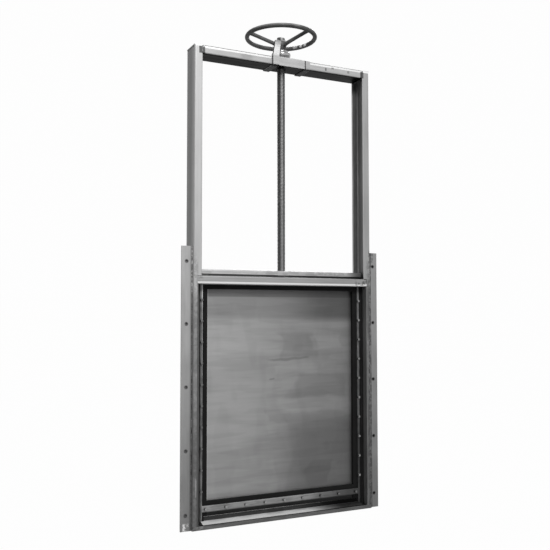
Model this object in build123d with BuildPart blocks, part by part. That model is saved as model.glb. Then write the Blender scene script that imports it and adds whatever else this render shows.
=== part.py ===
from build123d import *
import os

# Rising-stem sluice gate in folded stainless sheet, in millimetres.
# X runs across the gate, +Y points through the wall, +Z is up.
# The origin is on the gate's centre line, in the wall plane, at the underside of the sill.

# Frame
frame_depth = 109.0
frame_sheet = 5.0
bend_radius = 8.0
post_flange = 40.0
post_trimmed_flange = 20.0
post_cap_thickness = 4.0

# Anchor flanges, whose back faces lie in the wall plane
flange_reach = 53.0
flange_thickness = 8.0
flange_setback = 20.0
anchor_diameter = 14.0
anchor_inset = 28.0
anchor_pitch = 295.0
anchor_rows = 5
anchor_end = 72.0

# Waterway between the seal lips
clear_width = 810.0
clear_height = 1000.0
sill_height = 123.0

# Seals, their clamp strips and the plates behind them
seal_setback = 42.0
seal_thickness = 8.0
side_lip = 26.0
end_lip = 21.0
bulb_width = 19.0
bulb_radius = 5.0
bulb_clearance = 0.3
clamp_thickness = 6.0
side_clamp_width = 11.0
bottom_clamp_width = 29.0
top_clamp_width = 26.0
seal_plate_gap = 2.0
clamp_wall_gap = 23.0

# Sill
sill_lip = 20.5
ledge_sheet = 4.0
ledge_depth = 40.0
ledge_rise = 10.0
ledge_upstand = 23.5
ledge_bend = 6.0
ledge_end_lap = 7.0
ledge_notch = 16.0
ledge_notch_gap = 2.0

# Transom over the waterway
transom_height = 39.5
transom_lap = 1.0
transom_hem = 14.0
transom_bend = 7.0

# Leaf
leaf_thickness = 6.0
leaf_running_gap = 5.0
leaf_side_gap = 10.0
leaf_bottom_lap = 31.0
leaf_closing_gap = 12.0
leaf_beam_height = 22.0
leaf_beam_depth = 60.0
leaf_edge_width = 20.0
leaf_rib_thickness = 8.0
leaf_rib_count = 4
guide_thickness = 6.0
guide_clearance = 0.3

# Travel and head beam
travel = 1000.0
head_room = 28.5
beam_height = 44.0
beam_wall = 5.0
beam_corner = 8.0

# Drive bracket on the head beam: a plate, two straps under the beam and an arm
bracket_plate = 6.0
bracket_left = 80.0
bracket_right = 101.0
strap_sheet = 3.0
strap_width = 33.0
arm_thickness = 12.0
arm_tip_width = 31.0
arm_lean = 13.0
arm_height = 80.0
arm_tip_radius = 4.0

# Stem, stem block and stem nut
stem_diameter = 40.0
stem_chamfer = 3.0
stem_projection = 17.0
stem_socket = 15.0
stem_fit = 0.2
stem_passage = 5.0
block_width = 60.0
block_height = 20.0
block_clearance = 0.3

# Bearing housing on the head beam
housing_diameter = 94.0
housing_base_diameter = 76.0
housing_belly_low = 15.0
housing_belly_high = 28.0
housing_top_diameter = 80.0
housing_floor = 6.0
housing_height = 42.0
cap_height = 6.0
nut_collar_diameter = 64.0
nut_neck_diameter = 50.0
nut_sleeve_diameter = 46.0
bearing_clearance = 0.3
wheel_gap = 28.0

# Handwheel
wheel_diameter = 369.0
rim_diameter = 22.0
rim_sides = 8
rim_rise = 26.5
hub_diameter = 54.0
hub_height = 22.0
hub_fit = 0.2
spoke_count = 3
spoke_angle = 57.0
spoke_width = 20.0
spoke_thickness = 16.0
spoke_round = 5.0
spoke_root_drop = 12.0
lock_nut_width = 52.0
lock_nut_height = 6.0

# Depths, measured through the gate from the posts' front plane
front = -(flange_setback + flange_thickness)
back = front + frame_depth
seal_front = front + seal_setback
seal_back = seal_front + seal_thickness
plate_back = seal_back + frame_sheet
leaf_front = plate_back + leaf_running_gap
leaf_back = leaf_front + leaf_thickness
bulb_back = leaf_front - bulb_clearance
guide_front = back - frame_sheet - guide_thickness
stem_y = leaf_front + leaf_thickness / 2

# Half widths
lip_inner = clear_width / 2
clamp_inner = lip_inner + side_lip
clamp_outer = clamp_inner + side_clamp_width
plate_inner = clamp_inner + seal_plate_gap
wall_inner = clamp_outer + clamp_wall_gap
trim_inner = wall_inner + frame_sheet
post_outer = trim_inner + post_trimmed_flange
post_inner = post_outer - post_flange
web_inner = post_outer - frame_sheet
leaf_half = web_inner - leaf_side_gap
edge_inner = leaf_half - leaf_edge_width

# Heights
clamp_top = sill_height - end_lip
clamp_bottom = clamp_top - bottom_clamp_width
clamp_foot = sill_lip + ledge_rise
clear_top = sill_height + clear_height
transom_bottom = clear_top + end_lip + transom_lap
transom_top = transom_bottom + transom_height
top_clamp_bottom = clear_top + end_lip
seal_top = top_clamp_bottom + top_clamp_width
leaf_bottom = sill_height - leaf_bottom_lap
leaf_beam_bottom = transom_top + leaf_closing_gap
leaf_top = leaf_beam_bottom + leaf_beam_height
beam_bottom = leaf_top + travel + head_room
frame_top = beam_bottom + beam_height
post_top = frame_top - post_cap_thickness
housing_top = frame_top + housing_height
nut_shoulder = housing_top + cap_height + wheel_gap
hub_top = nut_shoulder + hub_height
rim_height = hub_top + rim_rise
block_top = leaf_top - frame_sheet
block_bottom = block_top - block_height
stem_bottom = block_top - stem_socket
stem_top = hub_top + lock_nut_height + stem_projection

os.makedirs("parts", exist_ok=True)


def save(piece, name):
    piece.label = name
    export_step(piece, f"parts/{name}.step")


def save_pair(right_piece, name):
    save(mirror(right_piece, about=Plane.YZ), f"left_{name}")
    save(right_piece, f"right_{name}")


def folded_sheet(points, radius, thickness, side):
    with BuildSketch() as profile:
        with BuildLine():
            FilletPolyline(*points, radius=radius)
            offset(amount=thickness, side=side)
        make_face()
    return profile.sketch


def bar(x_span, y_span, z_span):
    with BuildPart() as piece:
        with BuildSketch(Plane.XY.offset(z_span[0])):
            with Locations((sum(x_span) / 2, sum(y_span) / 2)):
                Rectangle(x_span[1] - x_span[0], y_span[1] - y_span[0])
        extrude(amount=z_span[1] - z_span[0])
    return piece.part


def seal_band(width):
    with BuildSketch() as profile:
        with Locations((0, seal_front)):
            Rectangle(width, seal_thickness, align=(Align.MIN, Align.MIN))
    return profile.sketch


def seal_bulb():
    with BuildSketch() as profile:
        with Locations((0, seal_front)):
            Rectangle(bulb_width, bulb_back - seal_front, align=(Align.MIN, Align.MIN))
        fillet(profile.vertices().group_by(Axis.Y)[-1], radius=bulb_radius)
    return profile.sketch


# Posts: channels that open towards the leaf, with the front flange trimmed beside the waterway
with BuildPart() as post:
    with BuildSketch(Plane.XY.offset(sill_lip)):
        add(folded_sheet(
            [(post_inner, front), (post_outer, front), (post_outer, back), (post_inner, back)],
            bend_radius, frame_sheet, Side.LEFT,
        ))
    extrude(amount=post_top - sill_lip)
    with BuildSketch(Plane.XY.offset(sill_lip)):
        with Locations((post_inner, front)):
            Rectangle(trim_inner - post_inner, frame_sheet, align=(Align.MIN, Align.MIN))
    extrude(amount=transom_top - sill_lip, mode=Mode.SUBTRACT)
save_pair(post.part, "post")

# Plates that close the tops of the posts
with BuildPart() as post_cap:
    with BuildSketch(Plane.XY.offset(post_top)):
        with Locations(((post_inner + post_outer) / 2, (front + back) / 2)):
            Rectangle(post_flange, frame_depth)
    extrude(amount=post_cap_thickness)
    chamfer(post_cap.edges().group_by(Axis.Z)[-1], length=post_cap_thickness / 3)
save_pair(post_cap.part, "post_cap")

# Anchor flanges with their row of holes
flange_height = 2 * anchor_end + (anchor_rows - 1) * anchor_pitch
anchor_x = post_outer + anchor_inset
with BuildPart() as anchor_flange:
    with BuildSketch(Plane.XZ):
        with Locations((post_outer, 0)):
            Rectangle(flange_reach, flange_height, align=(Align.MIN, Align.MIN))
        with Locations((anchor_x, flange_height / 2)):
            with GridLocations(anchor_pitch, anchor_pitch, 1, anchor_rows):
                Circle(anchor_diameter / 2, mode=Mode.SUBTRACT)
    extrude(amount=flange_thickness)
save_pair(anchor_flange.part, "anchor_flange")

# Sill: a channel laid on its web with closed ends, and the sloping ledge on its front lip
with BuildPart() as sill_channel:
    with BuildSketch(Plane.YZ):
        add(folded_sheet(
            [(front, sill_lip), (front, 0), (back, 0), (back, sill_lip)],
            bend_radius, frame_sheet, Side.LEFT,
        ))
    extrude(amount=post_outer, both=True)
    for end in (-post_outer, web_inner):
        with BuildSketch(Plane.YZ.offset(end)) as sill_end:
            with Locations((front, 0)):
                Rectangle(frame_depth, sill_lip, align=(Align.MIN, Align.MIN))
            fillet(sill_end.vertices().group_by(Axis.Y)[0], radius=bend_radius)
        extrude(amount=frame_sheet)
save(sill_channel.part, "sill_channel")

ledge_back = front + ledge_depth
ledge_nose = ledge_sheet * ledge_rise / ledge_depth
ledge_half = clamp_inner + ledge_end_lap
notch_front = seal_front - clamp_thickness - ledge_notch_gap
with BuildPart() as sill_ledge:
    with BuildSketch(Plane.YZ):
        add(folded_sheet(
            [
                (front + ledge_nose, sill_lip),
                (ledge_back, sill_lip + ledge_rise),
                (ledge_back, sill_lip + ledge_rise + ledge_upstand),
            ],
            ledge_bend, ledge_sheet, Side.LEFT,
        ))
    extrude(amount=ledge_half, both=True)
    with BuildSketch(Plane.XY):
        for end in (-ledge_half, ledge_half - ledge_notch):
            with Locations((end, notch_front)):
                Rectangle(ledge_notch, ledge_back - notch_front, align=(Align.MIN, Align.MIN))
    extrude(amount=clamp_bottom, mode=Mode.SUBTRACT)
save(sill_ledge.part, "sill_ledge")

# Plate behind the bottom seal, with a wider foot inside the sill that closes the corners
with BuildPart() as bottom_seal_plate:
    with BuildSketch(Plane.XZ.offset(-seal_back)):
        with Locations((0, frame_sheet)):
            Rectangle(2 * plate_inner, clamp_top - frame_sheet, align=(Align.CENTER, Align.MIN))
            Rectangle(2 * trim_inner, sill_lip - frame_sheet, align=(Align.CENTER, Align.MIN))
    extrude(amount=-frame_sheet)
save(bottom_seal_plate.part, "bottom_seal_plate")

# Angles beside the waterway: a wall back from the post and a plate that carries the seal
with BuildPart() as seal_angle:
    with BuildSketch(Plane.XY.offset(sill_lip)):
        add(folded_sheet(
            [(trim_inner, front), (trim_inner, plate_back), (plate_inner, plate_back)],
            bend_radius, frame_sheet, Side.LEFT,
        ))
    extrude(amount=transom_bottom - sill_lip)
save_pair(seal_angle.part, "seal_angle")

# Transom: a folded channel over the waterway, with a hem along its lower front edge
with BuildPart() as transom:
    with BuildSketch(Plane.YZ):
        add(folded_sheet(
            [
                (plate_back, transom_bottom),
                (plate_back, transom_top),
                (front, transom_top),
                (front, transom_bottom),
                (front + transom_hem, transom_bottom),
            ],
            transom_bend, frame_sheet, Side.LEFT,
        ))
    extrude(amount=trim_inner, both=True)
save(transom.part, "transom")

# Seals and the strips that clamp them
with BuildPart() as side_seal:
    with BuildSketch(Plane.XY.offset(clamp_foot)):
        with Locations((lip_inner, 0)):
            add(seal_band(side_lip + side_clamp_width))
    extrude(amount=seal_top - clamp_foot)
    with BuildSketch(Plane.XY.offset(clamp_top)):
        with Locations((lip_inner, 0)):
            add(seal_bulb())
    extrude(amount=top_clamp_bottom - clamp_top)
save_pair(side_seal.part, "seal")

with BuildPart() as top_seal:
    with BuildSketch(Plane(origin=(0, 0, clear_top), x_dir=(0, 0, 1), z_dir=(-1, 0, 0))):
        add(seal_band(end_lip + top_clamp_width))
        add(seal_bulb())
    extrude(amount=lip_inner, both=True)
save(top_seal.part, "top_seal")

with BuildPart() as bottom_seal:
    with BuildSketch(Plane(origin=(0, 0, sill_height), x_dir=(0, 0, -1), z_dir=(1, 0, 0))):
        add(seal_band(end_lip + bottom_clamp_width))
        add(seal_bulb())
    extrude(amount=lip_inner, both=True)
save(bottom_seal.part, "bottom_seal")

clamp_depth = (seal_front - clamp_thickness, seal_front)
save_pair(bar((clamp_inner, clamp_outer), clamp_depth, (clamp_foot, seal_top)), "clamp_strip")
save(bar((-clamp_inner, clamp_inner), clamp_depth, (top_clamp_bottom, seal_top)), "top_clamp_strip")
save(bar((-clamp_inner, clamp_inner), clamp_depth, (clamp_bottom, clamp_top)), "bottom_clamp_strip")

# Slide strips on the posts' back flanges
guide_span = (edge_inner, leaf_half)
save_pair(bar(guide_span, (guide_front, back - frame_sheet), (sill_lip, beam_bottom)), "guide_strip")

# Head beam: a box section bored for the stem
passage_diameter = stem_diameter + 2 * stem_passage
with BuildPart() as head_beam:
    with BuildSketch(Plane.YZ):
        with Locations(((front + back) / 2, beam_bottom + beam_height / 2)):
            RectangleRounded(frame_depth, beam_height, beam_corner)
            RectangleRounded(
                frame_depth - 2 * beam_wall, beam_height - 2 * beam_wall, beam_corner - beam_wall,
                mode=Mode.SUBTRACT,
            )
    extrude(amount=post_inner, both=True)
    with Locations((0, stem_y, frame_top)):
        Hole(passage_diameter / 2)
save(head_beam.part, "head_beam")

# Drive bracket: front plate, two straps bent under the beam and a leaning arm
arm_left = -bracket_left
arm_right = arm_left + strap_width
arm_tip_left = arm_left + arm_lean
arm_top = frame_top + arm_height
with BuildPart() as drive_bracket:
    with BuildSketch(Plane.XZ.offset(-front)):
        with Locations((arm_left, beam_bottom)):
            Rectangle(bracket_left + bracket_right, beam_height, align=(Align.MIN, Align.MIN))
    extrude(amount=bracket_plate)
    for strap_left in (arm_left, bracket_right):
        with BuildSketch(Plane.YZ.offset(strap_left)):
            add(folded_sheet(
                [(front, frame_top), (front, beam_bottom), (back, beam_bottom)],
                beam_corner, strap_sheet, Side.RIGHT,
            ))
        extrude(amount=strap_width)
    with BuildSketch(Plane.XZ.offset(-front)) as arm:
        with BuildLine():
            Polyline(
                (arm_left, beam_bottom), (arm_right, beam_bottom), (arm_right, frame_top),
                (arm_tip_left + arm_tip_width, arm_top), (arm_tip_left, arm_top),
                (arm_left, frame_top), close=True,
            )
        make_face()
        fillet(arm.vertices().group_by(Axis.Y)[-1], radius=arm_tip_radius)
    extrude(amount=arm_thickness)
save(drive_bracket.part, "drive_bracket")

# Bearing housing and cap, which trap the collar of the stem nut
chamber_diameter = nut_collar_diameter + 2 * bearing_clearance
belly = housing_diameter / 2
with BuildPart() as bearing_housing:
    with BuildSketch(Plane.XZ):
        with BuildLine():
            Polyline(
                (passage_diameter / 2, frame_top), (housing_base_diameter / 2, frame_top),
                (belly, frame_top + housing_belly_low), (belly, frame_top + housing_belly_high),
                (housing_top_diameter / 2, housing_top), (chamber_diameter / 2, housing_top),
                (chamber_diameter / 2, frame_top + housing_floor),
                (passage_diameter / 2, frame_top + housing_floor), close=True,
            )
        make_face()
    revolve(axis=Axis.Z)
save(Pos(0, stem_y, 0) * bearing_housing.part, "bearing_housing")

with BuildPart() as bearing_cap:
    with BuildSketch(Plane.XY.offset(housing_top)):
        with Locations((0, stem_y)):
            Circle(housing_top_diameter / 2)
            Circle(nut_neck_diameter / 2 + bearing_clearance, mode=Mode.SUBTRACT)
    extrude(amount=cap_height)
save(bearing_cap.part, "bearing_cap")

# Stem nut: collar in the housing, neck through the cap, sleeve that carries the handwheel
nut_bottom = frame_top + housing_floor + bearing_clearance
nut_top = hub_top + lock_nut_height
stem_bore = stem_diameter / 2 + stem_fit
collar_top = housing_top - bearing_clearance
with BuildPart() as stem_nut:
    with BuildSketch(Plane.XZ):
        with BuildLine():
            Polyline(
                (stem_bore, nut_bottom), (nut_collar_diameter / 2, nut_bottom),
                (nut_collar_diameter / 2, collar_top), (nut_neck_diameter / 2, collar_top),
                (nut_neck_diameter / 2, nut_shoulder), (nut_sleeve_diameter / 2, nut_shoulder),
                (nut_sleeve_diameter / 2, nut_top), (stem_bore, nut_top), close=True,
            )
        make_face()
    revolve(axis=Axis.Z)
save(Pos(0, stem_y, 0) * stem_nut.part, "stem_nut")

# Handwheel: rim on dished spokes
rim_radius = (wheel_diameter - rim_diameter) / 2
spoke_root = (hub_diameter + nut_sleeve_diameter) / 4
spoke_root_height = hub_top - spoke_root_drop
with BuildPart() as handwheel:
    with BuildSketch(Plane.XY.offset(nut_shoulder)):
        Circle(hub_diameter / 2)
    extrude(amount=hub_height)
    with BuildSketch(Plane.XZ):
        with Locations((rim_radius, rim_height)):
            RegularPolygon(rim_diameter / 2, rim_sides, major_radius=False, rotation=180 / rim_sides)
    revolve(axis=Axis.Z)
    for spoke in range(spoke_count):
        turn = spoke_angle + spoke * 360 / spoke_count
        start = Vector(spoke_root, 0, spoke_root_height).rotate(Axis.Z, turn)
        reach = Vector(rim_radius, 0, rim_height).rotate(Axis.Z, turn) - start
        across = Vector(0, 1, 0).rotate(Axis.Z, turn)
        with BuildSketch(Plane(origin=start, x_dir=across, z_dir=reach)):
            RectangleRounded(spoke_width, spoke_thickness, spoke_round)
        extrude(amount=reach.length)
    with Locations((0, 0, hub_top)):
        Hole(nut_sleeve_diameter / 2 + hub_fit, depth=hub_height)
save(Pos(0, stem_y, 0) * handwheel.part, "handwheel")

with BuildPart() as lock_nut:
    with BuildSketch(Plane.XY.offset(hub_top)):
        with Locations((0, stem_y)):
            RegularPolygon(lock_nut_width / 2, 6, major_radius=False)
            Circle(nut_sleeve_diameter / 2 + hub_fit, mode=Mode.SUBTRACT)
    extrude(amount=lock_nut_height)
save(lock_nut.part, "lock_nut")

# Leaf: plate, edge bars, ribs, top beam and the block that holds the foot of the stem
with BuildPart() as leaf_plate:
    with BuildSketch(Plane.XZ.offset(-leaf_front)):
        with Locations((0, leaf_bottom)):
            Rectangle(2 * leaf_half, block_top - leaf_bottom, align=(Align.CENTER, Align.MIN))
        with Locations((0, block_top)):
            Rectangle(
                block_width + 2 * block_clearance, block_height + block_clearance,
                align=(Align.CENTER, Align.MAX), mode=Mode.SUBTRACT,
            )
    extrude(amount=-leaf_thickness)
save(leaf_plate.part, "leaf_plate")

rib_back = guide_front - guide_clearance
save_pair(bar((edge_inner, leaf_half), (leaf_back, rib_back), (leaf_bottom, leaf_top)), "leaf_edge_bar")

rib_pitch = (leaf_beam_bottom - leaf_bottom) / leaf_rib_count
for rib in range(leaf_rib_count):
    rib_bottom = leaf_bottom + rib * rib_pitch
    rib_span = (rib_bottom, rib_bottom + leaf_rib_thickness)
    save(bar((-edge_inner, edge_inner), (leaf_back, rib_back), rib_span), f"leaf_rib_{rib + 1}")

leaf_beam_front = stem_y - leaf_beam_depth / 2
leaf_beam_back = stem_y + leaf_beam_depth / 2
with BuildPart() as leaf_beam:
    with BuildSketch(Plane.YZ):
        add(folded_sheet(
            [
                (leaf_beam_front, leaf_beam_bottom),
                (leaf_beam_front, leaf_top),
                (leaf_beam_back, leaf_top),
                (leaf_beam_back, leaf_beam_bottom),
            ],
            bend_radius, frame_sheet, Side.RIGHT,
        ))
    extrude(amount=edge_inner, both=True)
    with Locations((0, stem_y, leaf_top)):
        Hole(stem_bore)
save(leaf_beam.part, "leaf_beam")

block_depth = leaf_beam_depth - 2 * frame_sheet
with BuildPart() as stem_block:
    with BuildSketch(Plane.XY.offset(block_bottom)):
        with Locations((0, stem_y)):
            Rectangle(block_width, block_depth)
    extrude(amount=block_height)
    chamfer(stem_block.edges().filter_by(Axis.X).group_by(Axis.Z)[-1], length=bend_radius - frame_sheet)
    with Locations((0, stem_y, block_top)):
        Hole(stem_bore, depth=stem_socket)
save(stem_block.part, "stem_block")

with BuildPart() as stem:
    with BuildSketch(Plane.XY.offset(stem_bottom)):
        with Locations((0, stem_y)):
            Circle(stem_diameter / 2)
    extrude(amount=stem_top - stem_bottom)
    chamfer(stem.edges().group_by(Axis.Z)[-1], length=stem_chamfer)
save(stem.part, "stem")
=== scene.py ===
import math
import random

import bmesh
import bpy
from mathutils import Matrix, Vector


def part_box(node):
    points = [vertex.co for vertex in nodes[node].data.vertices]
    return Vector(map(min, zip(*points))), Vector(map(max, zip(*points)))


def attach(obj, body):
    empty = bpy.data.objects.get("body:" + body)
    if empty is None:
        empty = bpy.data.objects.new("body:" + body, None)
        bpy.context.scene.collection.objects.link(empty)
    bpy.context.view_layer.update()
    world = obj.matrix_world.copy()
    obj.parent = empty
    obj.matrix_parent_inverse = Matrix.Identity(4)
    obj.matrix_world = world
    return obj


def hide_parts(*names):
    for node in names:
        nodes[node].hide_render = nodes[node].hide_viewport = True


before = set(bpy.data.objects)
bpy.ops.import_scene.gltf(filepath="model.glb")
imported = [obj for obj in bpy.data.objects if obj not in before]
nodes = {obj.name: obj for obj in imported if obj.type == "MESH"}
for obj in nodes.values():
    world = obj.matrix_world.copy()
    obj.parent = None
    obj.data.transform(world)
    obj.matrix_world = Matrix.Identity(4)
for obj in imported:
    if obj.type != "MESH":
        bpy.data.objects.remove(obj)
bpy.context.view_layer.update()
scene = bpy.context.scene
scene.view_settings.view_transform = "Standard"
print("gate loaded:", len(nodes), "nodes")


# camera at the photo's place
cameraLook = {
    "place": (-1.72896, -3.42115, 1.00317), "turn": (92.906, 0.046, -26.11), "lens": 50.255, "sensor": 36.0,
}
camera = bpy.data.objects.new("gateCamera", bpy.data.cameras.new("gateCamera"))
camera.location = cameraLook["place"]
camera.rotation_euler = [math.radians(angle) for angle in cameraLook["turn"]]
camera.data.lens = cameraLook["lens"]
camera.data.sensor_width = cameraLook["sensor"]
scene.collection.objects.link(camera)
scene.camera = camera


# small node tools
def newFinish(name, metal, rough):
    finish = bpy.data.materials.new(name)
    finish.use_nodes = True
    tree = finish.node_tree
    shader = tree.nodes["Principled BSDF"]
    shader.inputs["Metallic"].default_value = metal
    shader.inputs["Roughness"].default_value = rough
    return finish, tree, shader


def sums(tree, kind, *values):
    node = tree.nodes.new("ShaderNodeMath")
    node.operation = kind
    for socket, value in zip(node.inputs, values):
        if isinstance(value, (int, float)):
            socket.default_value = value
        else:
            tree.links.new(value, socket)
    return node.outputs[0]


def span(tree, value, low, high, toLow, toHigh, smooth=False):
    node = tree.nodes.new("ShaderNodeMapRange")
    node.interpolation_type = "SMOOTHSTEP" if smooth else "LINEAR"
    for socket, number in zip(node.inputs[1:5], (low, high, toLow, toHigh)):
        socket.default_value = number
    tree.links.new(value, node.inputs[0])
    return node.outputs[0]


def clouds(tree, place, stretch, detail=4.0, rough=0.55, shift=(0.0, 0.0, 0.0)):
    mapping = tree.nodes.new("ShaderNodeMapping")
    mapping.inputs["Location"].default_value = shift
    mapping.inputs["Scale"].default_value = stretch
    noise = tree.nodes.new("ShaderNodeTexNoise")
    noise.inputs["Scale"].default_value = 1.0
    noise.inputs["Detail"].default_value = detail
    noise.inputs["Roughness"].default_value = rough
    tree.links.new(place, mapping.inputs["Vector"])
    tree.links.new(mapping.outputs["Vector"], noise.inputs["Vector"])
    return noise.outputs[0]


def axisOf(tree, place, axis):
    node = tree.nodes.new("ShaderNodeSeparateXYZ")
    tree.links.new(place, node.inputs[0])
    return node.outputs["XYZ".index(axis)]


def near(tree, value, centre, half, soft):  # 1 close to centre, fading to 0
    away = sums(tree, "ABSOLUTE", sums(tree, "SUBTRACT", value, centre))
    return span(tree, away, half, half + soft, 1.0, 0.0, smooth=True)


def squaredFrom(tree, value, centre):
    away = sums(tree, "SUBTRACT", value, centre)
    return sums(tree, "MULTIPLY", away, away)


def facing(tree, axis):  # how far the surface looks along an axis, from -1 to 1
    normal = tree.nodes.new("ShaderNodeNewGeometry").outputs["Normal"]
    return axisOf(tree, normal, axis)


def bumpOn(tree, shader, height, distance):
    bump = tree.nodes.new("ShaderNodeBump")
    bump.inputs["Strength"].default_value = 1.0
    bump.inputs["Distance"].default_value = distance
    tree.links.new(height, bump.inputs["Height"])
    tree.links.new(bump.outputs["Normal"], shader.inputs["Normal"])


def boxMask(tree, axes, limits):  # 1 inside the box
    mask = None
    for axis, low, high, soft in limits:
        side = near(tree, axes[axis], (low + high) / 2, (high - low) / 2, soft)
        mask = side if mask is None else sums(tree, "MULTIPLY", mask, side)
    return mask


def tint(tree, grey, mask, factor):  # grey times factor where the mask is 1
    return sums(tree, "MULTIPLY", grey, span(tree, mask, 0.0, 1.0, 1.0, factor))


def wavy(tree, place, size, reach):  # the place pushed about by slow noise
    noise = tree.nodes.new("ShaderNodeTexNoise")
    noise.inputs["Scale"].default_value = size
    tree.links.new(place, noise.inputs["Vector"])
    push = tree.nodes.new("ShaderNodeVectorMath")
    push.operation = "MULTIPLY_ADD"
    push.inputs[1].default_value = reach
    tree.links.new(noise.outputs["Color"], push.inputs[0])
    tree.links.new(place, push.inputs[2])
    middle = tree.nodes.new("ShaderNodeVectorMath")
    middle.operation = "SUBTRACT"
    middle.inputs[1].default_value = [value / 2 for value in reach]
    tree.links.new(push.outputs[0], middle.inputs[0])
    return middle.outputs[0]


# what a sheet has unless its own look says otherwise, factors multiply the tone
plainSheet = {
    "metal": 0.3, "gloss": 0.5, "bump": 0.0002, "palest": 0.95, "roughSpread": 0.07,
    "noiseEnds": (0.3, 0.7), "tornEnds": (0.42, 0.54),
    "fades": (),  # axis, low, high, factor at low, factor at high; mostly painted light falloff and shade
    "shades": (),  # painted shade and highlight by the way a face looks, the same columns, and the shine goes with them
    "lines": (),  # axis, middle, half width, soft edge, factor
    "patches": (),  # box with soft sides, factor, size of the noise that tears it, 0 for none
    "rings": (),  # distance from the middle line, height, radius, soft edge, factor
    "stains": (),  # box with edges that wander by "wave", factor
    "hollows": (),  # painted shade in a recess, a box that loses shine as well, factor
    "blots": (),  # smears with a firm edge
}


def sheetMarks(tree, place, axes, look, grey):
    for axis, middle, half, soft, factor in look["lines"]:
        grey = tint(tree, grey, near(tree, axes[axis], middle, half, soft), factor)
    for limits, factor, size in look["patches"]:
        mask = boxMask(tree, axes, limits)
        if size:
            torn = clouds(tree, place, (size,) * 3, detail=3.0, rough=0.6)
            mask = sums(tree, "MULTIPLY", mask, span(tree, torn, *look["tornEnds"], 0.0, 1.0))
        grey = tint(tree, grey, mask, factor)
    for across, up, radius, soft, factor in look["rings"]:
        squares = sums(tree, "ADD", squaredFrom(tree, axes["S"], across), squaredFrom(tree, axes["Z"], up))
        holeRing = span(tree, sums(tree, "SQRT", squares), radius, radius + soft, factor, 1.0, smooth=True)
        grey = sums(tree, "MULTIPLY", grey, holeRing)
    if look["stains"]:
        pushed = wavy(tree, place, *look["wave"])
        bent = {axis: axisOf(tree, pushed, axis) for axis in "XZ"}
        for limits, factor in look["stains"]:
            grey = tint(tree, grey, boxMask(tree, bent, limits), factor)
    for layer in look["blots"]:
        smear = clouds(tree, place, layer["stretch"], detail=2.0, rough=0.5, shift=layer["shift"])
        grey = tint(tree, grey, span(tree, smear, *layer["edge"], 0.0, 1.0), layer["factor"])
    return grey


# rolled sheet: cloudy tone, fine grain along the fold, then fades and marks
def sheetFinish(name, ownLook):
    look = {**plainSheet, **ownLook}
    finish, tree, shader = newFinish(name, look["metal"], look["rough"])
    place = tree.nodes.new("ShaderNodeTexCoord").outputs["Object"]
    axes = {axis: axisOf(tree, place, axis) for axis in "XYZ"}
    axes["S"] = sums(tree, "ABSOLUTE", axes["X"])  # distance from the gate's middle line
    tone, cloud, grain, ends = look["tone"], look["cloud"], look["grain"], look["noiseEnds"]
    haze = clouds(tree, place, look["cloudStretch"])
    grey = span(tree, haze, *ends, tone * (1 - cloud), tone * (1 + cloud))
    brushed = clouds(tree, place, look["grainStretch"], detail=2.0)
    grey = sums(tree, "MULTIPLY", grey, span(tree, brushed, *ends, 1 - grain, 1 + grain))
    # fades, mostly painted light falloff along an axis
    for axis, low, high, toLow, toHigh in look["fades"]:
        grey = sums(tree, "MULTIPLY", grey, span(tree, axes[axis], low, high, toLow, toHigh, smooth=True))
    grey = sheetMarks(tree, place, axes, look, grey)
    shine = look["gloss"]
    shader.inputs["Specular IOR Level"].default_value = shine
    # painted shade in recesses, taking the shine down too
    for limits, factor in look["hollows"]:
        paintedHollowShade = span(tree, boxMask(tree, axes, limits), 0.0, 1.0, 1.0, factor)
        grey = sums(tree, "MULTIPLY", grey, paintedHollowShade)
        shine = sums(tree, "MULTIPLY", shine, paintedHollowShade)
    # painted shade and highlight by the way each face looks
    for axis, low, high, toLow, toHigh in look["shades"]:
        turned = span(tree, facing(tree, axis), low, high, toLow, toHigh, smooth=True)
        grey = sums(tree, "MULTIPLY", grey, turned)
        shine = sums(tree, "MULTIPLY", shine, turned)
    if look["hollows"] or look["shades"]:
        tree.links.new(shine, shader.inputs["Specular IOR Level"])
    tree.links.new(sums(tree, "MINIMUM", grey, look["palest"]), shader.inputs["Base Color"])
    smooth, coarse = look["rough"] - look["roughSpread"], look["rough"] + look["roughSpread"]
    tree.links.new(span(tree, brushed, *ends, smooth, coarse), shader.inputs["Roughness"])
    bumpOn(tree, shader, brushed, look["bump"])
    return finish


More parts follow.
